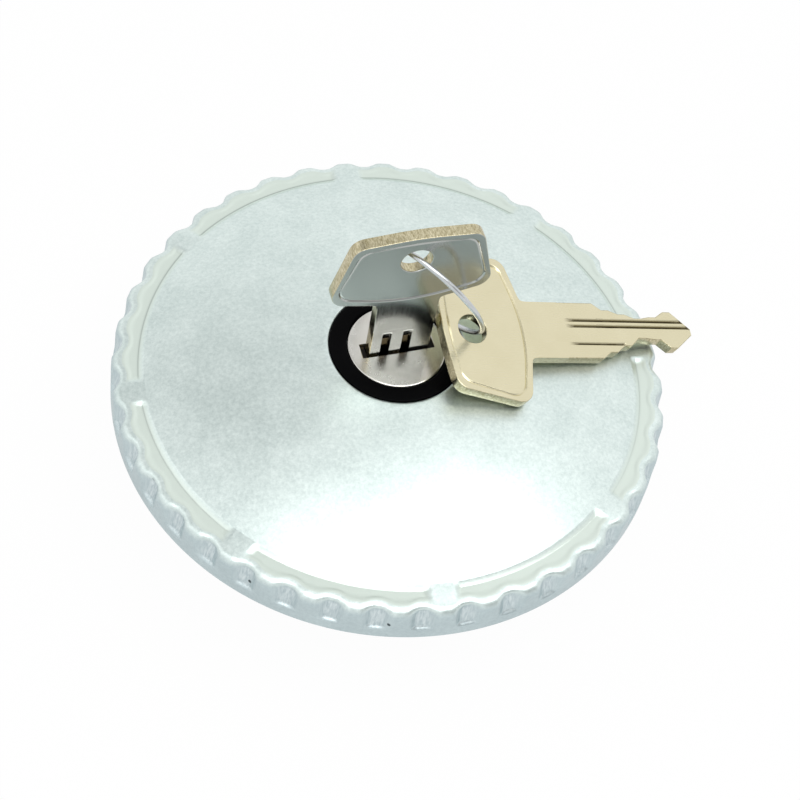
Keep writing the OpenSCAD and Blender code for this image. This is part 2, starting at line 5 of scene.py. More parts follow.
import bpy
import numpy as np
from mathutils import Matrix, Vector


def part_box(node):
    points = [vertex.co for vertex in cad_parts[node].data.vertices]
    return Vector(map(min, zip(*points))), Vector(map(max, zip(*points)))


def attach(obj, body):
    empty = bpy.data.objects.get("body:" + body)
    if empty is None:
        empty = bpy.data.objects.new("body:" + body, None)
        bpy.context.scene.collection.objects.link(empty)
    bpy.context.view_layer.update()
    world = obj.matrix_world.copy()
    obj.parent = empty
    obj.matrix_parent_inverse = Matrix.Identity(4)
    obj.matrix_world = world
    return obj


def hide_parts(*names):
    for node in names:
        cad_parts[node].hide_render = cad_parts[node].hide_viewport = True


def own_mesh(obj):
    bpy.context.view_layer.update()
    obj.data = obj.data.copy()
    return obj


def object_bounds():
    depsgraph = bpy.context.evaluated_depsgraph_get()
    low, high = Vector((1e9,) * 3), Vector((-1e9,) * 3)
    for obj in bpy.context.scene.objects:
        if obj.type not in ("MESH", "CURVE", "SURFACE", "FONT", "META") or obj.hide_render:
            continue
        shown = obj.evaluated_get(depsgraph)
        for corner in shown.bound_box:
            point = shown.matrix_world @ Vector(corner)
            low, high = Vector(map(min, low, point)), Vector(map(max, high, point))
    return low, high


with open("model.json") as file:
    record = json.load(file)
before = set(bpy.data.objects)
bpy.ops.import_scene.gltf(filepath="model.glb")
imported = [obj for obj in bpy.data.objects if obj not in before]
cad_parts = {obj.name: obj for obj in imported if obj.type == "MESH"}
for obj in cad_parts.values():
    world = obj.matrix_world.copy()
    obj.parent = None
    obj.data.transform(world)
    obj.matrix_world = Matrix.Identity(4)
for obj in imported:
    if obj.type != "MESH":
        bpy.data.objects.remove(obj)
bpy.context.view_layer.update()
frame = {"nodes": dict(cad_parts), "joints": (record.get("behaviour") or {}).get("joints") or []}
nodes = frame["nodes"]
MM = 0.001


# Lock cup and bayonet ring: the cup is deep drawn from sheet steel and the ring is spot welded round it.
# Both are zinc plated after welding, so they share one bluish, slightly cloudy finish with faint draw marks.
def linear(colour):
    """Linear RGBA of an sRGB hex value."""
    c = np.array([int(colour[i:i + 2], 16) for i in (1, 3, 5)]) / 255
    return (*np.where(c <= 0.04045, c / 12.92, ((c + 0.055) / 1.055) ** 2.4), 1.0)


def add(tree, kind, inputs=None, **settings):
    """One node of this kind: settings are its properties, inputs are values or other nodes' outputs."""
    made = tree.nodes.new(kind)
    for key, value in settings.items():
        setattr(made, key, value)
    for key, value in (inputs or {}).items():
        if isinstance(value, bpy.types.NodeSocket):
            tree.links.new(value, made.inputs[key])
        else:
            made.inputs[key].default_value = value
    return made


def finish(name, **sockets):
    """A new material, its node tree and its shader, with the shader's sockets set by name."""
    made = bpy.data.materials.new(name)
    made.use_nodes = True
    tree = made.node_tree
    tree.nodes.clear()
    shader = add(tree, "ShaderNodeBsdfPrincipled", {k.replace("_", " "): v for k, v in sockets.items()})
    add(tree, "ShaderNodeOutputMaterial", {"Surface": shader.outputs[0]})
    return made, tree, shader


def dress(made, *names):
    """Gives CAD nodes this material."""
    for name in names:
        nodes[name].data.materials.clear()
        nodes[name].data.materials.append(made)


def lead(tree, shader, **outputs):
    """Links nodes' outputs to the shader's sockets of these names."""
    for name, output in outputs.items():
        tree.links.new(output, shader.inputs[name.replace("_", " ")])


# Zinc plated drawn steel: clear blue passivate over satin metal, with upright draw lines about 0.7 mm apart
drawn_zinc, tree, shader = finish("zinc_plated_drawn_steel", Metallic=1.0)
place = add(tree, "ShaderNodeTexCoord").outputs["Object"]
stretch = add(tree, "ShaderNodeMapping", {"Vector": place, "Scale": (1 / 0.7e-3, 1 / 0.7e-3, 1 / 15e-3)})
lines = add(tree, "ShaderNodeTexNoise", {"Vector": stretch.outputs[0], "Scale": 1.0, "Detail": 2.0})
cloud = add(tree, "ShaderNodeTexNoise", {"Vector": place, "Scale": 1 / 12e-3, "Detail": 4.0, "Roughness": 0.6})
tone = add(tree, "ShaderNodeMix", {0: cloud.outputs[0], 6: linear("#AEBABE"), 7: linear("#C6CFD0")}, data_type="RGBA")
gloss = add(tree, "ShaderNodeMapRange", {0: lines.outputs[0], 1: 0.3, 2: 0.7, 3: 0.26, 4: 0.42})
press = add(tree, "ShaderNodeBump", {"Height": lines.outputs[0], "Strength": 0.15, "Distance": 0.05e-3})
lead(tree, shader, Base_Color=tone.outputs[2], Roughness=gloss.outputs[0], Normal=press.outputs[0])
dress(drawn_zinc, "inner_cup", "bayonet_ring")


# Pressure plate: a flat steel ring with its edge turned down round the gasket, zinc plated.
# It slides on the cup and is pressed down by the wave spring.
def rounded(corners, radius, steps=5):
    """Closed outline whose corners become arcs: each arc turns evenly from one tangent point to the next."""
    p = np.asarray(corners, float)
    radius = np.broadcast_to(radius, len(p))[:, None]
    u = np.roll(p, 1, 0) - p
    v = np.roll(p, -1, 0) - p
    u /= np.linalg.norm(u, axis=1, keepdims=True)
    v /= np.linalg.norm(v, axis=1, keepdims=True)
    half = np.arccos(np.clip((u * v).sum(1, keepdims=True), -1, 1)) / 2
    middle = p + (u + v) / np.linalg.norm(u + v, axis=1, keepdims=True) * radius / np.sin(half)
    a = (p + u * radius / np.tan(half) - middle) / radius
    b = (p + v * radius / np.tan(half) - middle) / radius
    turn = np.pi - 2 * half
    t = np.linspace(0, 1, steps)
    wa = np.sin((1 - t) * turn) / np.sin(turn)
    wb = np.sin(t * turn) / np.sin(turn)
    arcs = middle[:, None] + radius[:, None] * (wa[..., None] * a[:, None] + wb[..., None] * b[:, None])
    return arcs.reshape(-1, 2)


def turned(outline, columns=160, centre=(0, 0)):
    """A closed outline of (radius, height) points carried once round an upright axis."""
    angle = np.linspace(0, 2 * np.pi, columns, endpoint=False)[:, None]
    r, z = np.asarray(outline, float).T
    return np.stack([centre[0] + r * np.cos(angle), centre[1] + r * np.sin(angle), z + 0 * angle], -1)


def piece(name, grids, made, body, slot, *stands_for, **marks):
    """A closed mesh of point grids in millimetres: neighbours make quads, and each grid closes on itself in both
    directions, or is capped at its ends where the grid comes as (grid, "capped"). Marks are values per point."""
    points, faces, start = [], [], 0
    for grid in grids:
        grid, capped = grid if isinstance(grid, tuple) else (grid, None)
        rows, width = grid.shape[:2]
        ids = np.arange(rows * width).reshape(rows, width)
        wrapped = np.hstack([ids, ids[:, :1]])
        wrapped = wrapped if capped else np.vstack([wrapped, wrapped[:1]])
        quads = np.stack([wrapped[:-1, :-1], wrapped[1:, :-1], wrapped[1:, 1:], wrapped[:-1, 1:]], -1).reshape(-1, 4)
        p = grid.reshape(-1, 3)
        a, b, c, d = (p[quads[:, i]] - p.mean(0) for i in range(4))
        inward = ((np.cross(a, b) * c).sum() + (np.cross(a, c) * d).sum()) < 0
        made_faces = quads.tolist() + ([ids[0].tolist(), ids[-1, ::-1].tolist()] if capped else [])
        faces += [[start + i for i in (f[::-1] if inward else f)] for f in made_faces]
        points.append(p)
        start += len(p)
    mesh = bpy.data.meshes.new(name)
    mesh.from_pydata(np.concatenate(points) * MM, [], faces)
    mesh.polygons.foreach_set("use_smooth", np.ones(len(mesh.polygons), bool))
    mesh.set_sharp_from_angle(angle=math.radians(40))
    for mark, values in marks.items():
        flat = np.concatenate([np.reshape(v, (len(p), -1)) for v, p in zip(values, points)]).astype(np.float32)
        kind, field = ("FLOAT_VECTOR", "vector") if flat.shape[1] == 3 else ("FLOAT", "value")
        mesh.attributes.new(mark, kind, "POINT").data.foreach_set(field, flat.ravel())
    mesh.materials.append(made)
    thing = bpy.data.objects.new(name, mesh)
    bpy.context.scene.collection.objects.link(thing)
    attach(thing, body)
    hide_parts(*stands_for)
    return thing


plate_in, plate_out, plate_low, plate_top, plate_lip = 27.4, 39.75, 2.0, 2.7, 1.0
plate_sheet, plate_bend, plate_nook, plate_ease = 0.7, 0.4, 0.04, 0.12
plate_outline = rounded([
    (plate_in, plate_low), (plate_out - plate_sheet, plate_low), (plate_out - plate_sheet, plate_lip),
    (plate_out, plate_lip), (plate_out, plate_top), (plate_in, plate_top)
], [plate_ease, plate_nook, plate_ease, plate_ease, plate_bend, plate_ease])
piece("pressure_plate_pressed", [turned(plate_outline)], drawn_zinc, "seal", "zinc_plated_cup", "pressure_plate")


# Wave spring, snap ring and small coil springs: hardened spring steel, rolled or drawn and oil blackened.
# The wave spring lies loose between the plate and the cover, and flattens against the cover when the plate
# is pressed up. The snap ring sits in the cup's groove.
wave_in, wave_out, wave_sheet, wave_ease = 33.0, 37.8, 0.4, 0.08
wave_low, wave_high, wave_count, wave_left = 2.77, 4.795, 6, 0.6

# Oil tempered spring steel: dark grey and half shiny, with patches of tempering scale about 3 mm across
spring_steel, tree, shader = finish("oil_tempered_spring_steel", Metallic=1.0)
place = add(tree, "ShaderNodeTexCoord").outputs["Object"]
patch = add(tree, "ShaderNodeTexNoise", {"Vector": place, "Scale": 1 / 3e-3, "Detail": 5.0})
tone = add(tree, "ShaderNodeMix", {0: patch.outputs[0], 6: linear("#565B60"), 7: linear("#8B9297")}, data_type="RGBA")
gloss = add(tree, "ShaderNodeMapRange", {0: patch.outputs[0], 1: 0.3, 2: 0.7, 3: 0.3, 4: 0.48})
lead(tree, shader, Base_Color=tone.outputs[2], Roughness=gloss.outputs[0])
dress(spring_steel, "plate_snap_ring", "wafer_springs")

# The strip is a flat ring whose height swings by a sine, so many times round
wave_half = wave_sheet / 2
wave_section = rounded([
    (wave_in, -wave_half), (wave_out, -wave_half), (wave_out, wave_half), (wave_in, wave_half)
], wave_ease)
wave_grid = turned(wave_section, 360)
wave_turn = np.arctan2(wave_grid[..., 1], wave_grid[..., 0])
wave_swing = (wave_high - wave_low) / 2 - wave_half
wave_grid[..., 2] += (wave_low + wave_high) / 2 + wave_swing * np.sin(wave_count * wave_turn)
wave_strip = piece("wave_spring_strip", [wave_grid], spring_steel, "cap", "spring_steel", "wave_spring")
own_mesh(wave_strip)


# Gasket, lock seal and vent valve: black nitrile rubber. The gasket is a moulded flat ring with eased edges,
# the seal a washer under the cover, the valve an umbrella pulled through the cup's floor by its stem.
gasket_in, gasket_out, gasket_top, gasket_ease, gasket_back = 33.5, 39.0, 2.0, 0.45, 0.1
floor_low, floor_high, floor_gap = -22.0, -21.1, 0.05
disc_r, disc_flat_r, disc_thick, disc_edge = 2.6, 1.0, 0.75, 0.4
stem_r, barb_r, barb_end_r, barb_shoulder, barb_len, core_r = 0.95, 1.5, 1.1, 1.4, 1.6, 0.05

# Nitrile rubber: nearly black and dull, with a fine moulded grain about 0.4 mm across and a grey bloom
nitrile, tree, shader = finish("nitrile_rubber", Roughness=0.62, IOR=1.52)
place = add(tree, "ShaderNodeTexCoord").outputs["Object"]
grain = add(tree, "ShaderNodeTexNoise", {"Vector": place, "Scale": 1 / 0.4e-3, "Detail": 2.0})
bloom = add(tree, "ShaderNodeTexNoise", {"Vector": place, "Scale": 1 / 6e-3, "Detail": 4.0})
tone = add(tree, "ShaderNodeMix", {0: bloom.outputs[0], 6: linear("#161618"), 7: linear("#2C2C2E")}, data_type="RGBA")
press = add(tree, "ShaderNodeBump", {"Height": grain.outputs[0], "Strength": 0.35, "Distance": 0.06e-3})
lead(tree, shader, Base_Color=tone.outputs[2], Normal=press.outputs[0])
dress(nitrile, "lock_seal")

gasket_outline = rounded([
    (gasket_in, 0), (gasket_out, 0), (gasket_out, gasket_top), (gasket_in, gasket_top)
], [gasket_ease, gasket_ease, gasket_back, gasket_back])
piece("gasket_moulded", [turned(gasket_outline)], nitrile, "seal", "nitrile_rubber", "gasket")
vent_lo, vent_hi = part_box("vent_valve")
vent_place = ((vent_lo.x + vent_hi.x) / 2 / MM, (vent_lo.y + vent_hi.y) / 2 / MM)
valve_outline = rounded([
    (core_r, floor_low - disc_thick), (disc_flat_r, floor_low - disc_thick), (disc_r, floor_low - disc_edge),
    (disc_r, floor_low - floor_gap), (stem_r, floor_low - floor_gap), (stem_r, floor_high + floor_gap),
    (barb_r, floor_high + floor_gap), (barb_end_r, floor_high + barb_shoulder), (core_r, floor_high + barb_len)
], [0.02, 0.3, 0.1, 0.1, 0.05, 0.05, 0.1, 0.3, 0.02])
piece("vent_umbrella", [turned(valve_outline, 48, vent_place)], nitrile, "cap", "nitrile_rubber", "vent_valve")


# Lock body: the barrel and housing of the lock in one die casting of zinc, tumbled and left bare.
# Four rivets through the cup's floor hold it, and the bolts slide in a slot across it.

# Die-cast zinc: mid grey and softly shiny, with flow clouds 5 mm across and a tumbled grain of 0.3 mm
die_cast, tree, shader = finish("die_cast_zinc", Metallic=1.0)
place = add(tree, "ShaderNodeTexCoord").outputs["Object"]
flow = add(tree, "ShaderNodeTexNoise", {"Vector": place, "Scale": 1 / 5e-3, "Detail": 5.0, "Distortion": 0.6})
grain = add(tree, "ShaderNodeTexNoise", {"Vector": place, "Scale": 1 / 0.3e-3, "Detail": 1.0})
tone = add(tree, "ShaderNodeMix", {0: flow.outputs[0], 6: linear("#7D8285"), 7: linear("#A3A8AA")}, data_type="RGBA")
gloss = add(tree, "ShaderNodeMapRange", {0: flow.outputs[0], 1: 0.3, 2: 0.7, 3: 0.4, 4: 0.55})
press = add(tree, "ShaderNodeBump", {"Height": grain.outputs[0], "Strength": 0.3, "Distance": 0.05e-3})
lead(tree, shader, Base_Color=tone.outputs[2], Roughness=gloss.outputs[0], Normal=press.outputs[0])
dress(die_cast, "lock_body")


# Bolts, scroll cam, cam screw and rivets: steel, blanked or turned, ground on the sliding faces and polished.
# The cam sits on the plug's square tail under its screw, and the bolts' pins run in its two spiral slots.

# Ground steel: bright and hard, with a grinding grain about 0.25 mm wide along X and slight smears
ground_steel, tree, shader = finish("ground_steel", Metallic=1.0)
place = add(tree, "ShaderNodeTexCoord").outputs["Object"]
stretch = add(tree, "ShaderNodeMapping", {"Vector": place, "Scale": (1 / 8e-3, 1 / 0.25e-3, 1 / 0.25e-3)})
grit = add(tree, "ShaderNodeTexNoise", {"Vector": stretch.outputs[0], "Scale": 1.0, "Detail": 2.0})
smear = add(tree, "ShaderNodeTexNoise", {"Vector": place, "Scale": 1 / 4e-3, "Detail": 3.0})
tone = add(tree, "ShaderNodeMix", {0: smear.outputs[0], 6: linear("#9AA0A3"), 7: linear("#C4C8C9")}, data_type="RGBA")
gloss = add(tree, "ShaderNodeMapRange", {0: grit.outputs[0], 1: 0.3, 2: 0.7, 3: 0.2, 4: 0.36})
press = add(tree, "ShaderNodeBump", {"Height": grit.outputs[0], "Strength": 0.15, "Distance": 0.03e-3})
lead(tree, shader, Base_Color=tone.outputs[2], Roughness=gloss.outputs[0], Normal=press.outputs[0])
dress(ground_steel, "bolt_right", "bolt_left", "scroll_cam", "cam_screw", "body_rivets")


# Plug and wafers: the plug is turned from brass bar and broached for the key, the wafers are blanked from sheet.
# The plug drops into the body from above and the wafers ride in its cross slots.

# Turned brass: warm yellow metal with tool rings 0.3 mm apart up its length, dulled in patches by handling
turned_brass, tree, shader = finish("turned_brass", Metallic=1.0)
place = add(tree, "ShaderNodeTexCoord").outputs["Object"]
rings = add(tree, "ShaderNodeTexWave", {"Vector": place, "Scale": 2 * math.pi / 20 / 0.3e-3, "Distortion": 0.4},
            wave_type="BANDS", bands_direction="Z")
tarnish = add(tree, "ShaderNodeTexNoise", {"Vector": place, "Scale": 1 / 3e-3, "Detail": 4.0})
tone = add(tree, "ShaderNodeMix", {0: tarnish.outputs[0], 6: linear("#A88B45"), 7: linear("#D0B671")}, data_type="RGBA")
gloss = add(tree, "ShaderNodeMapRange", {0: tarnish.outputs[0], 1: 0.3, 2: 0.7, 3: 0.22, 4: 0.4})
press = add(tree, "ShaderNodeBump", {"Height": rings.outputs[1], "Strength": 0.12, "Distance": 0.02e-3})
lead(tree, shader, Base_Color=tone.outputs[2], Roughness=gloss.outputs[0], Normal=press.outputs[0])
dress(turned_brass, "wafers")

# Darkened brass: the plug's brass painted nearly black as the shade seen through the key slot, with the metal showing
# through in patches of about 2 mm
slot_shade_brass, tree, shader = finish("slot_shade_brass", Metallic=0.6, Roughness=0.5)
place = add(tree, "ShaderNodeTexCoord").outputs["Object"]
brass_showing = add(tree, "ShaderNodeTexNoise", {"Vector": place, "Scale": 1 / 2e-3, "Detail": 4.0})
share = add(tree, "ShaderNodeMapRange", {0: brass_showing.outputs[0], 1: 0.55, 2: 0.8, 3: 0.0, 4: 0.6})
tone = add(tree, "ShaderNodeMix", {0: share.outputs[0], 6: linear("#15130F"), 7: linear("#8A7440")}, data_type="RGBA")
lead(tree, shader, Base_Color=tone.outputs[2])
dress(slot_shade_brass, "lock_plug")


# Outer cover: pressed from 0.8 mm sheet steel, with a domed plateau, a sunken rim band that eight bridges cross,
# a rounded rim and forty grip flutes that stop in a ledge above the plain edge. Zinc plated, spot welded to the cup.
cover_r, cover_sheet, skirt_low, rim_z, bead_z, fold_r = 45.0, 0.8, -2.1, 4.5, 4.57, 1.65
fold_in = cover_r - fold_r
hole_r, lip_low, lip_bend = 10.85, 9.31, 0.5
plateau_r, plateau_edge_z, dome_rise = 39.9, 5.0, 6.8
dome_r = (plateau_r ** 2 + dome_rise ** 2) / (2 * dome_rise)
step_from, step_to, bead_from, bead_to = 39.9, 40.75, 42.2, 43.35
bridge_count, bridge_w, bridge_turn, bridge_slope = 8, 5.5, math.radians(40), 0.9
flute_count, flute_depth, flute_foot, plain_top = 40, 1.7, 0.55, 0.1
flute_floor, flute_side, flute_fade, flute_faded = (0.75, 0.3), (1.3, 2.6), 1.3, 0.55
ledge_drop, ledge_rise, hollow_rise, wall_rise = 0.2, 0.5, 0.4, 1.2
# Painted shade at the step's foot: the side where it lies thickest, its least and most share round the cover, and its
# width in mm.
foot_shade_side, foot_shade_least, foot_shade_most, foot_shade_w = math.radians(75), 0.12, 0.65, 0.14


def smooth(t):
    """Rises softly from 0 to 1 while t goes from 0 to 1."""
    t = np.clip(t, 0, 1)
    return t * t * (3 - 2 * t)


def dome(r):
    """Height of the plateau's sphere at radius r."""
    return plateau_edge_z + dome_rise - dome_r + np.sqrt(dome_r ** 2 - r * r)


def nearest(angle, count, first):
    """Angle from the nearest of a number of evenly spaced places, the first of which is given."""
    pitch = 2 * np.pi / count
    return (angle - first + pitch / 2) % pitch - pitch / 2


def cover_face(columns):
    """Outer face of the cover, columns round by rows out: a turned section from the hole's lip over the dome, the
    step, the band and the fold to the skirt's edge. The band is a groove between the step and the rim's bead, and a
    bridge with sloping ends fills it. A flute draws bead and skirt inwards by a wave with a flat floor, which fades
    out over the bead. Returns the points and four marks: the shares of band, of wall, of hollow, and of painted shade
    at the step's foot, which lies thickest on the side away from the camera."""
    bend = np.linspace(0, np.pi / 2, 6)
    turn = np.linspace(np.pi / 2, 0, 12)
    lip_top = dome(hole_r) - lip_bend
    lip = np.concatenate([np.linspace(lip_low, lip_top - 0.1, 4), lip_top + lip_bend * np.sin(bend)])
    lip_out = np.concatenate([np.full(4, hole_r), hole_r + lip_bend - lip_bend * np.cos(bend)])
    dome_out = np.linspace(hole_r + 1.2, step_from - 0.4, 13)
    step_out = np.linspace(step_from - 0.1, step_to, 13)
    band_out = np.linspace(step_to + 0.2, fold_in - 0.1, 9)
    top = np.concatenate([dome_out, step_out, band_out])
    tab = plateau_edge_z + (bead_z - plateau_edge_z) * (top - plateau_r) / (fold_in - plateau_r)
    out = np.concatenate([lip_out, top])
    high = np.concatenate([lip, np.where(top < plateau_r, dome(top), tab)])
    step = np.clip((out - step_from) / (step_to - step_from), 0, 1)
    sunk = step * smooth((bead_to - out) / (bead_to - bead_from))
    low = high + sunk * (rim_z - high)

    # The skirt's rows, from the fold down to the edge, lie closest at the flutes' ledge
    down = np.concatenate([np.linspace(0, 0.36, 4)[1:], np.linspace(0.40, 0.62, 12), np.linspace(0.7, 1, 4)])
    fold_low = bead_z - fold_r
    skirt = np.concatenate([fold_low + fold_r * np.sin(turn), skirt_low + (fold_low - skirt_low) * (1 - down)])
    r = np.concatenate([out, fold_in + fold_r * np.cos(turn), np.full(len(down), cover_r)])

    angle = np.linspace(0, 2 * np.pi, columns, endpoint=False)[:, None]
    across = r * np.sin(nearest(angle, bridge_count, bridge_turn))
    bridge = np.clip((bridge_w / 2 - np.abs(across)) / bridge_slope, 0, 1)
    filled = bridge[:, :len(out)]
    z = np.concatenate([(1 - filled) * low + filled * high, skirt + 0 * angle], 1)

    x = np.abs(cover_r * np.sin(nearest(angle, flute_count, bridge_turn + np.pi / flute_count)))
    up = np.clip((z - plain_top) / (rim_z - plain_top), 0, 1)
    wave = 1 - smooth((x - np.interp(up, (0, 1), flute_floor)) / np.interp(up, (0, 1), flute_side))
    above = z - plain_top + ledge_drop
    depth = flute_foot + (flute_depth - flute_foot) * up
    depth = depth * (1 - flute_faded * smooth((z - rim_z) / flute_fade + 1))
    depth = depth * smooth(above / ledge_rise) * smooth((r - step_to) / (fold_in - step_to))
    drawn = r - depth * wave

    band = np.concatenate([step, 0 * turn, 0 * down]) * (1 - bridge)
    # The wall share marks the skirt, which the material paints darker as shade.
    wall = np.where(r > fold_in, smooth((rim_z - z) / wall_rise), 0)
    hollow = wall * wave * smooth(above / hollow_rise)
    # Painted shade: a dark line along the step's foot, thickest on the side away from the camera.
    thick = foot_shade_least + (foot_shade_most - foot_shade_least) * smooth(0.5 + 0.5 * np.cos(angle - foot_shade_side))
    foot_shade = thick * np.exp(-((r - step_to) / foot_shade_w) ** 2) * (1 - bridge)
    return np.stack([drawn * np.cos(angle), drawn * np.sin(angle), z], -1), band, wall, hollow, foot_shade


# The inside lies one sheet behind the outside, square to it, with a third of its rows. Normals face up on the dome.
dome_row = 20
outside, band, wall, hollow, foot_shade = cover_face(960)
around = np.roll(outside, -1, 0) - np.roll(outside, 1, 0)
along = np.gradient(outside, axis=1)
normal = np.cross(along, around)
normal /= np.linalg.norm(normal, axis=2, keepdims=True)
normal *= np.sign(normal[0, dome_row, 2])
rows = np.r_[0:outside.shape[1] - 1:3, outside.shape[1] - 1]
inside = (outside - cover_sheet * normal)[:, rows[::-1]]

# Zinc plate on pressed steel: greenish white satin metal. Crystals of the plate give mottles of 0.6 mm and clouds
# of 7 mm, the passivate is greener in the band, a painted shade lies along the step's foot, and the skirt is painted
# darker and bluer as shade, with upright draw lines 0.35 mm apart in the flutes and a few dark pits of about 0.6 mm.
pressed_zinc, tree, shader = finish("zinc_plated_pressed_steel", Metallic=1.0)
place = add(tree, "ShaderNodeTexCoord").outputs["Object"]
cloud = add(tree, "ShaderNodeTexNoise", {"Vector": place, "Scale": 1 / 7e-3, "Detail": 3.0, "Roughness": 0.5})
speck = add(tree, "ShaderNodeTexNoise", {"Vector": place, "Scale": 1 / 0.6e-3, "Detail": 3.0, "Roughness": 0.75})
upright = add(tree, "ShaderNodeMapping", {"Vector": place, "Scale": (1 / 0.35e-3, 1 / 0.35e-3, 1 / 20e-3)})
draw = add(tree, "ShaderNodeTexNoise", {"Vector": upright.outputs[0], "Scale": 1.0, "Detail": 3.0, "Roughness": 0.6})
blend = add(tree, "ShaderNodeMath", {0: cloud.outputs[0], 1: 0.5, 2: speck.outputs[0]}, operation="MULTIPLY_ADD")
share = add(tree, "ShaderNodeMapRange", {0: blend.outputs[0], 1: 0.5, 2: 1.0, 3: 0.0, 4: 1.0})
tone = add(tree, "ShaderNodeMix", {0: share.outputs[0], 6: linear("#CBD9D6"), 7: linear("#E7F2EF")}, data_type="RGBA")
band_mark = add(tree, "ShaderNodeAttribute", attribute_name="band").outputs["Fac"]
wall_mark = add(tree, "ShaderNodeAttribute", attribute_name="wall").outputs["Fac"]
hollow_mark = add(tree, "ShaderNodeAttribute", attribute_name="hollow").outputs["Fac"]
foot_shade_mark = add(tree, "ShaderNodeAttribute", attribute_name="foot_shade").outputs["Fac"]
green = add(tree, "ShaderNodeMix", {0: band_mark, 6: tone.outputs[2], 7: linear("#DBE6DE")}, data_type="RGBA")
# Painted shade along the step's foot darkens the tone there.
foot_shaded = add(tree, "ShaderNodeMix", {0: foot_shade_mark, 6: green.outputs[2], 7: linear("#7F8B87")}, data_type="RGBA")
lines = add(tree, "ShaderNodeMapRange", {0: draw.outputs[0], 1: 0.3, 2: 0.7, 3: 0.0, 4: 1.0})
# Painted shade: the skirt's tone, plain and lined, is darker and bluer than the top's, as shade on the sides. The draw
# lines are real.
plain = add(tree, "ShaderNodeMix", {0: share.outputs[0], 6: linear("#B4C3C6"), 7: linear("#C8D6D8")}, data_type="RGBA")
lined = add(tree, "ShaderNodeMix", {0: lines.outputs[0], 6: linear("#B1C0C4"), 7: linear("#DCE6E7")}, data_type="RGBA")
blue = add(tree, "ShaderNodeMix", {0: hollow_mark, 6: plain.outputs[2], 7: lined.outputs[2]}, data_type="RGBA")
sided = add(tree, "ShaderNodeMix", {0: wall_mark, 6: foot_shaded.outputs[2], 7: blue.outputs[2]}, data_type="RGBA")
pits = add(tree, "ShaderNodeTexVoronoi", {"Vector": place, "Scale": 1 / 5e-3, "Randomness": 1.0})
pit = add(tree, "ShaderNodeMapRange", {0: pits.outputs["Distance"], 1: 0.05, 2: 0.075, 3: 1.0, 4: 0.0})
low_pit = add(tree, "ShaderNodeMath", {0: pit.outputs[0], 1: wall_mark}, operation="MULTIPLY")
worn = add(tree, "ShaderNodeMix", {0: low_pit.outputs[0], 6: sided.outputs[2], 7: linear("#4A5557")}, data_type="RGBA")
gloss = add(tree, "ShaderNodeMapRange", {0: blend.outputs[0], 1: 0.5, 2: 1.0, 3: 0.35, 4: 0.43})
relief = add(tree, "ShaderNodeMix", {0: hollow_mark, 2: speck.outputs[0], 3: draw.outputs[0]}, data_type="FLOAT")
press = add(tree, "ShaderNodeBump", {"Height": relief.outputs[0], "Strength": 0.12, "Distance": 0.03e-3})
lead(tree, shader, Base_Color=worn.outputs[2], Roughness=gloss.outputs[0], Normal=press.outputs[0])

under = np.zeros(inside.shape[:2])
cover_marks = {"band": (band, under), "wall": (wall, under + 1), "hollow": (hollow, under), "foot_shade": (foot_shade, under)}
piece("cover_pressing", [np.concatenate([outside, inside], 1)], pressed_zinc, "cap", "zinc_plated_cover", "outer_cover",
      **{mark: [np.concatenate(both, 1)] for mark, both in cover_marks.items()})


# Lock bezel: a ring moulded in black nylon that fills the cover's hole and frames the plug's face.
# It is pressed in over the body's shoulder and stands flush with the dome.
bezel_r, bezel_in, bezel_top, bezel_low = 10.8, 8.05, 11.315, 9.615

# Moulded nylon: deep black with a low sheen and a spark-eroded grain of about 0.25 mm
nylon, tree, shader = finish("black_moulded_nylon", IOR=1.53, Specular_IOR_Level=0.03)
place = add(tree, "ShaderNodeTexCoord").outputs["Object"]
grain = add(tree, "ShaderNodeTexNoise", {"Vector": place, "Scale": 1 / 0.25e-3, "Detail": 2.0})
rubbed = add(tree, "ShaderNodeTexNoise", {"Vector": place, "Scale": 1 / 2.5e-3, "Detail": 4.0})
tone = add(tree, "ShaderNodeMix", {0: rubbed.outputs[0], 6: linear("#020203"), 7: linear("#070708")}, data_type="RGBA")
gloss = add(tree, "ShaderNodeMapRange", {0: rubbed.outputs[0], 1: 0.3, 2: 0.7, 3: 0.4, 4: 0.55})
press = add(tree, "ShaderNodeBump", {"Height": grain.outputs[0], "Strength": 0.2, "Distance": 0.03e-3})
lead(tree, shader, Base_Color=tone.outputs[2], Roughness=gloss.outputs[0], Normal=press.outputs[0])

bezel_outline = rounded([
    (bezel_in, bezel_low), (bezel_r, bezel_low), (bezel_r, bezel_top), (bezel_in, bezel_top)
], [0.1, 0.1, 0.25, 0.3])
piece("bezel_ring", [turned(bezel_outline, 240)], nylon, "cap", "black_bezel", "lock_bezel")


# Plug face: a cap pressed from stainless sheet, slotted for the key and polished, rolled over the plug's head.
# It turns with the plug inside the bezel.
face_r, face_top, face_sheet, face_low, face_ease = 7.95, 11.165, 0.6, 9.665, 0.3
head_r, head_gap = 7.5, 0.05
slot_half_len, slot_half_w, slot_ease, slot_edge = 5.9, 1.37, 0.12, 0.2


def slot_radius(angle):
    """Distance from the axis to the slot's edge: the nearer of its two pairs of straight sides."""
    to_end = slot_half_len / np.maximum(np.abs(np.cos(angle)), 1e-6)
    to_side = slot_half_w / np.maximum(np.abs(np.sin(angle)), 1e-6)
    return np.minimum(to_end, to_side)


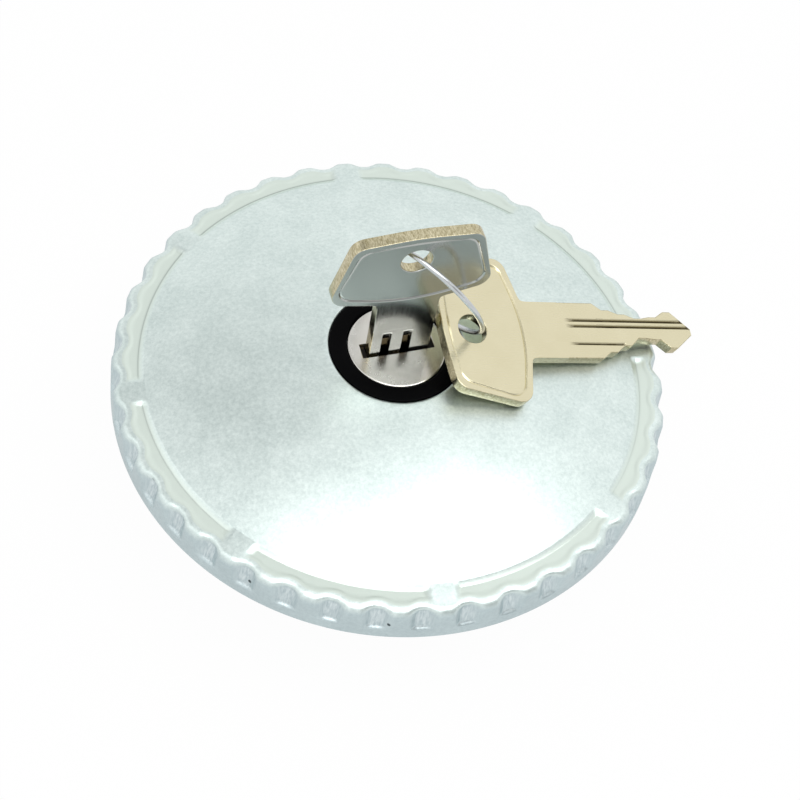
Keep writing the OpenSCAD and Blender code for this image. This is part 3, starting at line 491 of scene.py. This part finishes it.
# Polished stainless: a clear mirror softened by fine turning rings 0.15 mm apart and by wiping smears
polished_cap, tree, shader = finish("polished_stainless", Metallic=1.0)
place = add(tree, "ShaderNodeTexCoord").outputs["Object"]
rings = add(tree, "ShaderNodeTexWave", {"Vector": place, "Scale": 2 * math.pi / 20 / 0.15e-3, "Distortion": 0.5},
            wave_type="RINGS", rings_direction="Z")
smear = add(tree, "ShaderNodeTexNoise", {"Vector": place, "Scale": 1 / 3e-3, "Detail": 4.0})
tone = add(tree, "ShaderNodeMix", {0: smear.outputs[0], 6: linear("#C9C6BE"), 7: linear("#E0DFDA")}, data_type="RGBA")
gloss = add(tree, "ShaderNodeMapRange", {0: smear.outputs[0], 1: 0.3, 2: 0.7, 3: 0.2, 4: 0.3})
press = add(tree, "ShaderNodeBump", {"Height": rings.outputs[1], "Strength": 0.05, "Distance": 0.01e-3})
lead(tree, shader, Base_Color=tone.outputs[2], Roughness=gloss.outputs[0], Normal=press.outputs[0])

# The cap runs from the slot's wall over its eased edge and the flat face, round the outer edge, down and in under it
corner_angle = math.atan2(slot_half_w, slot_half_len)
face_angle = np.sort(np.concatenate([
    np.linspace(0, 2 * np.pi, 240, endpoint=False),
    corner_angle + np.array([0, np.pi]), 2 * np.pi - corner_angle - np.array([0, np.pi])
]))
slot_at = slot_radius(face_angle)[:, None]
share = np.linspace(0, 1, 8)
ease_turn = np.linspace(0, np.pi / 2, 5)
face_radii = np.concatenate([
    slot_at + 0 * share[:2], slot_at + slot_ease * (1 - np.cos(ease_turn)),
    slot_at + slot_edge + (face_r - face_ease - slot_edge - slot_at) * share,
    face_r - face_ease + face_ease * np.sin(ease_turn) + 0 * slot_at,
    np.array([face_r, head_r + head_gap, head_r + head_gap]) + 0 * slot_at
], 1)
face_heights = np.concatenate([
    [face_top - face_sheet, face_top - face_sheet / 2], face_top - slot_ease + slot_ease * np.sin(ease_turn),
    np.full(len(share), face_top), face_top - face_ease + face_ease * np.cos(ease_turn),
    [face_low, face_low, face_top - face_sheet]
]) + 0 * slot_at
face_way = np.stack([np.cos(face_angle), np.sin(face_angle)], -1)[:, None]
face_grid = np.concatenate([face_radii[..., None] * face_way, face_heights[..., None]], -1)
piece("plug_face_cap", [face_grid], polished_cap, "plug", "polished_steel", "plug_face")


# Keys: stamped from 2 mm nickel silver sheet, with a coined border round the bow, milled grooves and cut edges.
# One stands in the lock and the other lies over the rim, held by the ring.
key_sheet, key_ease = 2.0, 0.14
bow_w, bow_end_w, bow_len, bow_sag, bow_crown = 26.4, 20.0, 16.5, 3.1, 0.8
bow_corner, bow_foot_round, bow_top_round, neck_fillet = 2.4, 28, 45, 0.5
bow_hole_y, bow_hole_r, bow_hole_ease, bow_hole_clear = 11.0, 2.5, 0.15, 0.3
coin_depth, border_w, border_half, border_deep, border_clear = 0.08, 1.1, 0.27, 0.16, 0.05
blade_half, blade_len, neck_len, neck_end, tip_len, tip_half = 5.0, 30.8, 12.4, -5.6, 3.2, 0.6
cuts = {1: [3.8, 3.1, 2.4, 2.7, 3.7], -1: [3.9, 2.7, 1.3, 1.5, 3.0]}
cut_pitch = (blade_len - neck_len - tip_len) / 5
cut_middle, cut_flat, cut_sharp = 0.75, 0.22, 0.05
groove_start, groove_run, groove_close, past_tip = -6.4, 2.2, 0.8, -blade_len - 1
fine_grooves = [(1.85, 0.32, 0, 0.4, past_tip), (0.8, 0.32, 0, 0.4, past_tip), (-2.4, 0.25, 0, 0.3, -neck_len - 5)]
wide_grooves = [(-2.5, 0.75, 0.6, 0.7, past_tip), (0.9, 0.7, 0.55, 0.7, past_tip)]


def bow_reach(angle, inset):
    """Distance from the bow's hole to the bow's rounded outline, set in by some millimetres, in each direction."""
    side, shoulder = bow_w / 2 - inset, bow_end_w / 2 - inset
    low, high = bow_sag + inset, bow_len - bow_crown - inset
    line = rounded([
        (0, inset), (side, low), (shoulder, high), (0, bow_len - inset), (-shoulder, high), (-side, low)
    ], [bow_foot_round, bow_corner, bow_corner, bow_top_round, bow_corner, bow_corner], 24)
    line = np.concatenate([line + (np.roll(line, -1, 0) - line) * t for t in np.linspace(0, 1, 12, endpoint=False)])
    x, y = line[:, 0], line[:, 1] - bow_hole_y
    return np.interp(angle, np.arctan2(y, x), np.hypot(x, y), period=2 * np.pi)


def neck_reach(angle):
    """Distance from the bow's hole to the neck's straight sides and its end, and nothing above the hole."""
    to_side = blade_half / np.maximum(np.abs(np.cos(angle)), 1e-9)
    to_end = (bow_hole_y - neck_end) / np.maximum(-np.sin(angle), 1e-9)
    return np.where(np.sin(angle) < 0, np.minimum(to_side, to_end), 0)


def key_reach(angle):
    """The farther of the bow's outline and the neck's sides, which flow into each other over a small fillet."""
    a, b = bow_reach(angle, 0), neck_reach(angle)
    return np.maximum(a, b) + neck_fillet * np.log1p(np.exp(-np.abs(a - b) / neck_fillet)) * (b > 0)


def bow_grid():
    """Bow and neck as rings about the hole: each ring lies at a share of the way from the hole to the outline, at
    angles that step evenly along it. The face is slightly sunk inside a fine border groove. Returns the points and the
    share of sheared edge."""
    fine = np.linspace(-np.pi, np.pi, 6000, endpoint=False)
    reach = key_reach(fine)
    run = np.hypot(np.diff(reach * np.cos(fine)), np.diff(reach * np.sin(fine)))
    length = np.concatenate([[0], np.cumsum(run)])
    end_turn = math.atan2(blade_half, bow_hole_y - neck_end)
    even = np.interp(np.linspace(0, length[-1], 420, endpoint=False), length, fine)
    angle = np.sort(np.concatenate([even, -np.pi / 2 + np.array([-1, 1]) * end_turn]))
    edge = key_reach(angle)[:, None]
    line = bow_reach(angle, border_w)[:, None]
    at_end = (np.abs(angle + np.pi / 2) <= end_turn + 1e-6)[:, None]
    ease = np.where(at_end, 1e-3, key_ease)

    # Rings in order: the hole's eased edge, the sunk face, the border groove, the flat border and the outer edge
    turn = np.linspace(0, np.pi / 2, 5)
    share = np.linspace(0, 1, 7)
    half = key_sheet / 2
    low = half - coin_depth
    step = border_half * np.linspace(-1, 1, 7)
    groove = border_deep * smooth(1 - np.abs(step) / border_half)
    face_from, face_to = bow_hole_r + bow_hole_clear, line - border_half - border_clear
    flat_from, flat_to = line + border_half + border_clear, edge - ease - border_clear
    r = np.concatenate([
        bow_hole_r + bow_hole_ease - bow_hole_ease * np.cos(turn) + 0 * edge,
        face_from + (face_to - face_from) * share, line + step,
        flat_from + (flat_to - flat_from) * share, edge - ease + ease * np.sin(turn)
    ], 1)
    z = np.concatenate([
        low - bow_hole_ease + bow_hole_ease * np.sin(turn) + 0 * edge, low + 0 * line * share,
        low + coin_depth * smooth(step / border_half / 2 + 0.5) - groove + 0 * edge,
        half + 0 * line * share, half - ease + ease * np.cos(turn)
    ], 1)
    r = np.concatenate([r, r[:, ::-1]], 1)
    z = np.concatenate([z, -z[:, ::-1]], 1)
    shear = np.zeros(r.shape)
    shear[:, [0, -1]] = 1
    middle = r.shape[1] // 2
    shear[:, middle - 3:middle + 3] = 1
    return np.stack([r * np.cos(angle)[:, None], bow_hole_y + r * np.sin(angle)[:, None], z], -1), shear


def groove_face(x, y, grooves):
    """Height of a blade's face and the share of painted shade in its grooves. Each milled groove has a place across the
    blade, half widths at its mouth and floor, a depth and an end, and runs out towards the neck."""
    z, soil = key_sheet / 2 + 0 * x, 0 * x
    for at, mouth, floor, depth, end in grooves:
        run = np.clip((groove_start - y) / groove_run, 0, 1) * smooth((y - end) / groove_close)
        sunk = np.clip((mouth - np.abs(x - at)) / (mouth - floor), 0, run[:, None])
        z = z - sunk * depth
        soil = soil + sunk
    return z, soil


def blade_grid(front, back):
    """Blade as sections from the neck to the tip: each section runs over one face, round an eased edge, back over the
    other face and round again. The edges follow the cuts, from one flat to the next. Returns the points and the shares
    of sheared edge and of painted shade in the grooves."""
    flats = np.array([cut_middle - cut_flat, cut_middle + cut_flat])
    y_cut = (-neck_len - cut_pitch * (np.arange(5)[:, None] + flats)).ravel()
    y_key = np.concatenate([[0, -neck_len], y_cut, [-blade_len]])
    y_near = [y_key[1:], y_key[1:-1] - cut_sharp, y_key[1:-1] + cut_sharp]
    y = np.unique(np.concatenate([np.linspace(-blade_len, neck_end, 170), *y_near]))
    y = y[y <= neck_end][::-1]
    reach = {s: np.concatenate([[blade_half, blade_half], np.repeat(cuts[s], 2), [tip_half]]) for s in (1, -1)}
    right, left = (s * np.interp(-y, -y_key, reach[s])[:, None] for s in (1, -1))
    turn = np.linspace(0, np.pi, 9)
    half = key_sheet / 2
    face_x = left + key_ease + (right - left - 2 * key_ease) * np.linspace(0, 1, 110)
    edge_z = np.where(np.cos(turn) > 0, 1, -1) * (half - key_ease) + key_ease * np.cos(turn)
    edge = 0 * right + 0 * turn
    top, top_soil = groove_face(face_x, y, front)
    under, under_soil = groove_face(-face_x[:, ::-1], y, back)
    x = np.concatenate([
        face_x, right - key_ease + key_ease * np.sin(turn), face_x[:, ::-1], left + key_ease - key_ease * np.sin(turn)
    ], 1)
    z = np.concatenate([top, edge_z + edge, -under, -edge_z + edge], 1)
    soil = np.concatenate([top_soil, edge, under_soil, edge], 1)
    shear = np.concatenate([0 * face_x, edge + 1, 0 * face_x, edge + 1], 1)
    return np.stack([x, y[:, None] + 0 * x, z], -1), shear, soil


# Nickel silver: pale warm metal, with the fine rolling grain of the sheet about 0.15 mm apart along the key and faint
# tarnish clouds. The sheared edges are yellower and ribbed by the tool, the grooves are darkened as painted shade, and
# the key in use has faces rubbed smoother and painted a cool darker grey as a painted reflection.
nickel_silver, tree, shader = finish("stamped_nickel_silver", Metallic=1.0)
flat = add(tree, "ShaderNodeAttribute", attribute_name="flat").outputs["Vector"]
edge_mark = add(tree, "ShaderNodeAttribute", attribute_name="shear").outputs["Fac"]
used_mark = add(tree, "ShaderNodeAttribute", attribute_name="used").outputs["Fac"]
soil_mark = add(tree, "ShaderNodeAttribute", attribute_name="soil").outputs["Fac"]
rolled = add(tree, "ShaderNodeMapping", {"Vector": flat, "Scale": (1 / 0.15e-3, 1 / 6e-3, 1 / 0.15e-3)})
roll = add(tree, "ShaderNodeTexNoise", {"Vector": rolled.outputs[0], "Scale": 1.0, "Detail": 2.0})
ribbed = add(tree, "ShaderNodeMapping", {"Vector": flat, "Scale": (1 / 0.25e-3, 1 / 0.25e-3, 1 / 0.7e-3)})
rib = add(tree, "ShaderNodeTexNoise", {"Vector": ribbed.outputs[0], "Scale": 1.0, "Detail": 4.0, "Roughness": 0.75})
tarnish = add(tree, "ShaderNodeTexNoise", {"Vector": flat, "Scale": 1 / 5e-3, "Detail": 2.0})
face_tone = add(tree, "ShaderNodeMix", {0: tarnish.outputs[0], 6: linear("#D8D0AF"), 7: linear("#E2DBBC")},
                data_type="RGBA")
# Painted reflection: the key in the lock gets a cool darker grey face colour.
used_tone = add(tree, "ShaderNodeMix", {0: used_mark, 6: face_tone.outputs[2], 7: linear("#B4B7B4")}, data_type="RGBA")
torn = add(tree, "ShaderNodeMapRange", {0: rib.outputs[0], 1: 0.35, 2: 0.65, 3: 0.0, 4: 1.0})
edge_tone = add(tree, "ShaderNodeMix", {0: torn.outputs[0], 6: linear("#9A906C"), 7: linear("#DCD4B6")},
                data_type="RGBA")
clean = add(tree, "ShaderNodeMix", {0: edge_mark, 6: used_tone.outputs[2], 7: edge_tone.outputs[2]}, data_type="RGBA")
# Painted shade: the grooves are darkened towards a dark brown.
tone = add(tree, "ShaderNodeMix", {0: soil_mark, 6: clean.outputs[2], 7: linear("#4A3F26")}, data_type="RGBA")
rough = add(tree, "ShaderNodeMapRange", {0: roll.outputs[0], 1: 0.3, 2: 0.7, 3: 0.22, 4: 0.28})
gloss = add(tree, "ShaderNodeMath", {0: used_mark, 1: -0.09, 2: rough.outputs[0]}, operation="MULTIPLY_ADD")
relief = add(tree, "ShaderNodeMix", {0: edge_mark, 2: roll.outputs[0], 3: rib.outputs[0]}, data_type="FLOAT")
press = add(tree, "ShaderNodeBump", {"Height": relief.outputs[0], "Strength": 0.1, "Distance": 0.03e-3})
lead(tree, shader, Base_Color=tone.outputs[2], Roughness=gloss.outputs[0], Normal=press.outputs[0])

# Each key is made flat, with its bow's hole on the long axis, and then turned and set where its hole hangs on the ring
joints = {j["name"]: j for j in frame["joints"]}
key_hole = np.array(joints["ring_swing"]["pos_m"]) / MM
spare_hole = np.array(joints["spare_key_lift"]["pos_m"]) / MM
spare_pitch, spare_tilt = math.radians(15.5), math.radians(12)


def about(axis, turn):
    """Matrix of a turn about one of the three axes."""
    c, s = math.cos(turn), math.sin(turn)
    i, j = [(1, 2), (2, 0), (0, 1)][axis]
    m = np.eye(3)
    m[i, i], m[i, j], m[j, i], m[j, j] = c, -s, s, c
    return m


bow, bow_shear = bow_grid()
stand = about(0, math.pi / 2)
lie = about(1, spare_pitch) @ about(0, spare_tilt) @ about(2, math.pi / 2)
# The key in the lock gets the painted grey reflection tone and smoother faces.
for name, node, body, turn, hole, used, front, back in [
        ("key_in_lock", "lock_key", "key", stand, key_hole, 1, wide_grooves, fine_grooves),
        ("key_spare", "spare_key", "spare", lie, spare_hole, 0, fine_grooves, wide_grooves)]:
    blade, blade_shear, blade_soil = blade_grid(front, back)
    bow_placed, blade_placed = ((g - (0, bow_hole_y, 0)) @ turn.T + hole for g in (bow, blade))
    piece(name, [bow_placed, (blade_placed, "capped")], nickel_silver, body, "key_nickel_silver", node,
          flat=[bow * MM, blade * MM], shear=[bow_shear, blade_shear],
          used=[used + 0 * bow_shear, used + 0 * blade_shear], soil=[0 * bow_shear, blade_soil])


# Key ring: a length of bright steel wire bent to a circle, its two ends butted. It passes through both bows and leans
# over from the line between their holes. Use has pressed it in on one side.
ring_wire, ring_slack, ring_lean, ring_gap = 0.9, 2.0, math.radians(46), math.radians(2)
dent_depth, dent_at, dent_reach = 1.4, math.radians(307), math.radians(60)
end_share, end_step = 0.6, 0.25
span = spare_hole - key_hole
reach = np.linalg.norm(span)
span /= reach
level = np.cross(span, (0, 0, 1))
level /= np.linalg.norm(level)
ring_normal = math.cos(ring_lean) * level + math.sin(ring_lean) * np.cross(span, level)
ring_out = np.cross(span, ring_normal)
ring_r = (reach + ring_slack) / 2
ring_centre = (key_hole + spare_hole) / 2 + math.sqrt(ring_r ** 2 - reach ** 2 / 4) * ring_out


def wire_loop(rows, width):
    """Wire as circles carried round the ring's circle, which is pressed in on one side, and drawn in to small flats
    at its two ends."""
    turn = np.linspace(0, 2 * np.pi - ring_gap, rows)[:, None]
    from_end = np.minimum(np.arange(rows), np.arange(rows)[::-1])
    thick = ring_wire / 2 * np.minimum(1, end_share + end_step * from_end)[:, None]
    bend = np.linspace(0, 2 * np.pi, width, endpoint=False)
    dent = dent_depth * smooth(1 - np.abs(nearest(turn, 1, dent_at)) / dent_reach)
    r = ring_r - dent + thick * np.cos(bend)
    flat = np.cos(turn)[..., None] * ring_out + np.sin(turn)[..., None] * span
    return ring_centre + r[..., None] * flat + (thick * np.sin(bend))[..., None] * ring_normal


# Bright drawn wire: cool, nearly mirror steel with die lines and a few dull patches about 1.5 mm long
drawn_wire, tree, shader = finish("bright_drawn_wire", Metallic=1.0)
place = add(tree, "ShaderNodeTexCoord").outputs["Object"]
dull = add(tree, "ShaderNodeTexNoise", {"Vector": place, "Scale": 1 / 1.5e-3, "Detail": 4.0})
tone = add(tree, "ShaderNodeMix", {0: dull.outputs[0], 6: linear("#B4B8BB"), 7: linear("#DDE0E1")}, data_type="RGBA")
gloss = add(tree, "ShaderNodeMapRange", {0: dull.outputs[0], 1: 0.3, 2: 0.7, 3: 0.14, 4: 0.3})
lead(tree, shader, Base_Color=tone.outputs[2], Roughness=gloss.outputs[0])
piece("wire_ring", [(wire_loop(260, 20), "capped")], drawn_wire, "ring", "ring_wire", "key_ring")


# Studio: a plain white table, a soft box high in front on the right, a weak fill from the left, and a white room.
# The table shows white to the camera and in the metal, and keeps the cap's soft shadow.
table_half, table_white, table_in_metal = 3, 0.97, 0.4
table_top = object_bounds()[0][2]
table_corners = [(x * table_half, y * table_half, table_top) for x, y in [(-1, -1), (1, -1), (1, 1), (-1, 1)]]
table_mesh = bpy.data.meshes.new("table")
table_mesh.from_pydata(table_corners, [], [(0, 1, 2, 3)])
table = bpy.data.objects.new("table", table_mesh)
bpy.context.scene.collection.objects.link(table)

# White table paint: matt, and as white as the room where the camera or the metal sees it
table_paint, tree, shader = finish("white_table", Base_Color=linear("#F4F4F4"), Roughness=0.8)
path = add(tree, "ShaderNodeLightPath").outputs
mirrored = add(tree, "ShaderNodeMath", {0: path["Is Glossy Ray"], 1: table_in_metal}, operation="MULTIPLY")
seen = add(tree, "ShaderNodeMath", {0: path["Is Camera Ray"], 1: path["Is Transmission Ray"]}, operation="MAXIMUM")
direct = add(tree, "ShaderNodeMath", {0: seen.outputs[0], 1: table_white}, operation="MULTIPLY")
shown = add(tree, "ShaderNodeMath", {0: mirrored.outputs[0], 1: direct.outputs[0]}, operation="MAXIMUM")
glow = add(tree, "ShaderNodeEmission", {"Color": linear("#FFFFFF"), "Strength": 1.0})
both = add(tree, "ShaderNodeMixShader", {0: shown.outputs[0], 1: shader.outputs[0], 2: glow.outputs[0]})
tree.links.new(both.outputs[0], tree.nodes["Material Output"].inputs["Surface"])
table_mesh.materials.append(table_paint)

# White room: plain white to the camera, with a dimmer light on the cap. The metal mirrors two darker sides of it, each
# with its direction, the cosines at which it starts and is darkest, and the brightness that is left there.
room_light = 0.7
dark_sides = [((0.38, -0.68, 0.63), 0.82, 0.95, 0.45), ((-0.24, 0.43, 0.87), 0.88, 0.985, 0.6)]
room = bpy.data.worlds.new("white_room")
bpy.context.scene.world = room
room.use_nodes = True
tree = room.node_tree
tree.nodes.clear()
path = add(tree, "ShaderNodeLightPath").outputs
way = add(tree, "ShaderNodeTexCoord").outputs["Generated"]
dim = []
for middle, start, full, left in dark_sides:
    toward = add(tree, "ShaderNodeVectorMath", {0: way, 1: middle}, operation="DOT_PRODUCT").outputs["Value"]
    dim.append(add(tree, "ShaderNodeMapRange", {0: toward, 1: start, 2: full, 3: 1.0, 4: left}).outputs[0])
darker = add(tree, "ShaderNodeMath", {0: dim[0], 1: dim[1]}, operation="MULTIPLY").outputs[0]
mirrored = add(tree, "ShaderNodeMix", {0: path["Is Glossy Ray"], 2: room_light, 3: darker}, data_type="FLOAT")
seen = add(tree, "ShaderNodeMath", {0: path["Is Camera Ray"], 1: path["Is Transmission Ray"]}, operation="MAXIMUM")
level = add(tree, "ShaderNodeMix", {0: seen.outputs[0], 2: mirrored.outputs[0], 3: 1.0}, data_type="FLOAT")
walls = add(tree, "ShaderNodeBackground", {"Color": linear("#FFFFFF"), "Strength": level.outputs[0]})
add(tree, "ShaderNodeOutputWorld", {"Surface": walls.outputs[0]})


# Camera at the photograph's place: angles in degrees, distances in millimetres, image of 800 by 800 pixels.
# The target point falls on the given pixel by the lens's shift.
image, focal_px, sensor_w = 800, 2014.6, 36
view_turn, view_height, view_roll, view_far = math.radians(-25.5), math.radians(54.29), math.radians(11.87), 330
target, target_px = np.array([0, 0, -0.8]), (387.87, 388.86)


def way_to(turn, height):
    """Unit vector towards a place at this turn from the front and this height above the table, in radians."""
    return np.array([math.sin(turn) * math.cos(height), -math.cos(turn) * math.cos(height), math.sin(height)])


def aim(thing, place_mm, x, y, z):
    """Puts a camera or lamp at a place, in millimetres, with these three axes."""
    axes = np.column_stack([x, y, z, np.asarray(place_mm) * MM])
    thing.matrix_world = Matrix(np.vstack([axes, [0, 0, 0, 1]]).tolist())


right = np.array([math.cos(view_turn), math.sin(view_turn), 0])
back = way_to(view_turn, view_height)
up = np.cross(back, right)
rolled_right = math.cos(view_roll) * right + math.sin(view_roll) * up
rolled_up = math.cos(view_roll) * up - math.sin(view_roll) * right
lens = bpy.data.cameras.new("camera")
lens.sensor_width = sensor_w
lens.lens = focal_px / image * sensor_w
lens.shift_x = (image / 2 - target_px[0]) / image
lens.shift_y = (target_px[1] - image / 2) / image
lens.clip_start = 0.005
camera = bpy.data.objects.new("camera", lens)
bpy.context.scene.collection.objects.link(camera)
aim(camera, target + view_far * back, rolled_right, rolled_up, back)
bpy.context.scene.camera = camera


# Lamps: two soft boxes that face the cap. One lies high in front on the right, the other is a weak fill on the left.
def soft_box(name, side, height, far, width, depth, bright):
    """A lamp that faces the cap: side and height are angles in degrees, from the camera's side and the table."""
    turn = view_turn + math.radians(side)
    z = way_to(turn, math.radians(height))
    x = np.array([math.cos(turn), math.sin(turn), 0])
    lamp = bpy.data.lights.new(name, "AREA")
    lamp.shape, lamp.size, lamp.size_y = "RECTANGLE", width * MM, depth * MM
    lamp.energy = bright * math.pi * width * depth * MM * MM
    box = bpy.data.objects.new(name, lamp)
    bpy.context.scene.collection.objects.link(box)
    aim(box, far * z, x, np.cross(z, x), z)


soft_box("soft_box_over", side=35, height=70, far=500, width=520, depth=230, bright=3.0)
soft_box("soft_box_left", side=-80, height=45, far=600, width=300, depth=300, bright=0.4)
bpy.context.scene.view_settings.view_transform = "Standard"
